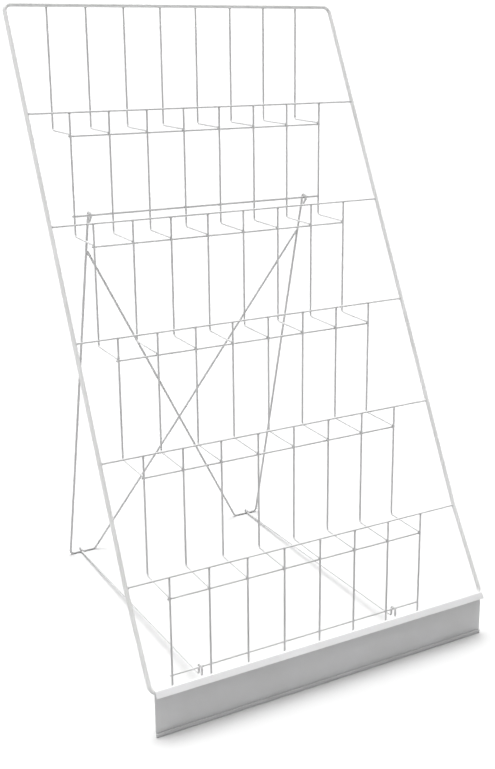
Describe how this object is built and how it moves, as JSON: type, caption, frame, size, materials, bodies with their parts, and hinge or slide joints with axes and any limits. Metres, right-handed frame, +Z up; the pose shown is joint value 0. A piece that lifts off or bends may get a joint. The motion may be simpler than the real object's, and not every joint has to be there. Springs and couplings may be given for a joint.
{
  "type": "folding wire counter rack",
  "caption": "Folding tabletop display rack of white coated wire: stepped pockets with lip rails, a sign channel along the foot, and a hinged rear easel held open by braces.",
  "frame": {"origin": "on the floor, under the middle of the bounding box", "axes": "+Z up; +X to the rack's left-to-right as seen from the front; front of the rack faces -Y, the easel stands at +Y"},
  "size_m": [0.4678, 0.496, 0.7901],
  "materials": {
    "coated_frame": "satin white powder coat",
    "coated_wire": "satin white powder coat",
    "coated_sheet": "satin white powder coat"
  },
  "bodies": {
    "front_panel": {"frame_hoop": "coated_frame", "sign_channel": "coated_sheet", "lip_rail_1": "coated_wire", "shelf_rail_1": "coated_wire", "upright_1_1": "coated_wire", "upright_1_2": "coated_wire", "upright_1_3": "coated_wire", "upright_1_4": "coated_wire", "upright_1_5": "coated_wire", "upright_1_6": "coated_wire", "upright_1_7": "coated_wire", "upright_1_8": "coated_wire", "lip_rail_2": "coated_wire", "shelf_rail_2": "coated_wire", "upright_2_1": "coated_wire", "upright_2_2": "coated_wire", "upright_2_3": "coated_wire", "upright_2_4": "coated_wire", "upright_2_5": "coated_wire", "upright_2_6": "coated_wire", "upright_2_7": "coated_wire", "upright_2_8": "coated_wire", "lip_rail_3": "coated_wire", "shelf_rail_3": "coated_wire", "upright_3_1": "coated_wire", "upright_3_2": "coated_wire", "upright_3_3": "coated_wire", "upright_3_4": "coated_wire", "upright_3_5": "coated_wire", "upright_3_6": "coated_wire", "upright_3_7": "coated_wire", "upright_3_8": "coated_wire", "lip_rail_4": "coated_wire", "shelf_rail_4": "coated_wire", "upright_4_1": "coated_wire", "upright_4_2": "coated_wire", "upright_4_3": "coated_wire", "upright_4_4": "coated_wire", "upright_4_5": "coated_wire", "upright_4_6": "coated_wire", "upright_4_7": "coated_wire", "upright_4_8": "coated_wire", "lip_rail_5": "coated_wire", "shelf_rail_5": "coated_wire", "upright_5_1": "coated_wire", "upright_5_2": "coated_wire", "upright_5_3": "coated_wire", "upright_5_4": "coated_wire", "upright_5_5": "coated_wire", "upright_5_6": "coated_wire", "upright_5_7": "coated_wire", "upright_5_8": "coated_wire", "base_grid": "coated_wire", "easel_pivot_bar": "coated_wire"},
    "easel": {"easel_leg_left": "coated_wire", "easel_leg_right": "coated_wire"},
    "brace_left": {"brace_left": "coated_wire"},
    "brace_right": {"brace_right": "coated_wire"}
  },
  "joints": [
    {"name": "easel_fold", "type": "hinge", "parent": "front_panel", "child": "easel", "pos_m": [0, 0.09045, 0.5332], "axis": [-1, 0, 0], "range_deg": [0, 41]},
    {"name": "brace_left_fold", "type": "hinge", "parent": "front_panel", "child": "brace_left", "pos_m": [-0.1403, -0.1716, 0.0255], "axis": [1, 0, 0], "range_deg": [0, 62]},
    {"name": "brace_right_fold", "type": "hinge", "parent": "front_panel", "child": "brace_right", "pos_m": [0.1403, -0.1716, 0.0255], "axis": [1, 0, 0], "range_deg": [0, 62]}
  ],
  "couplings": [
    {"joint": "brace_left_fold", "follows": "easel_fold", "ratio": 1.5},
    {"joint": "brace_right_fold", "follows": "easel_fold", "ratio": 1.5}
  ]
}
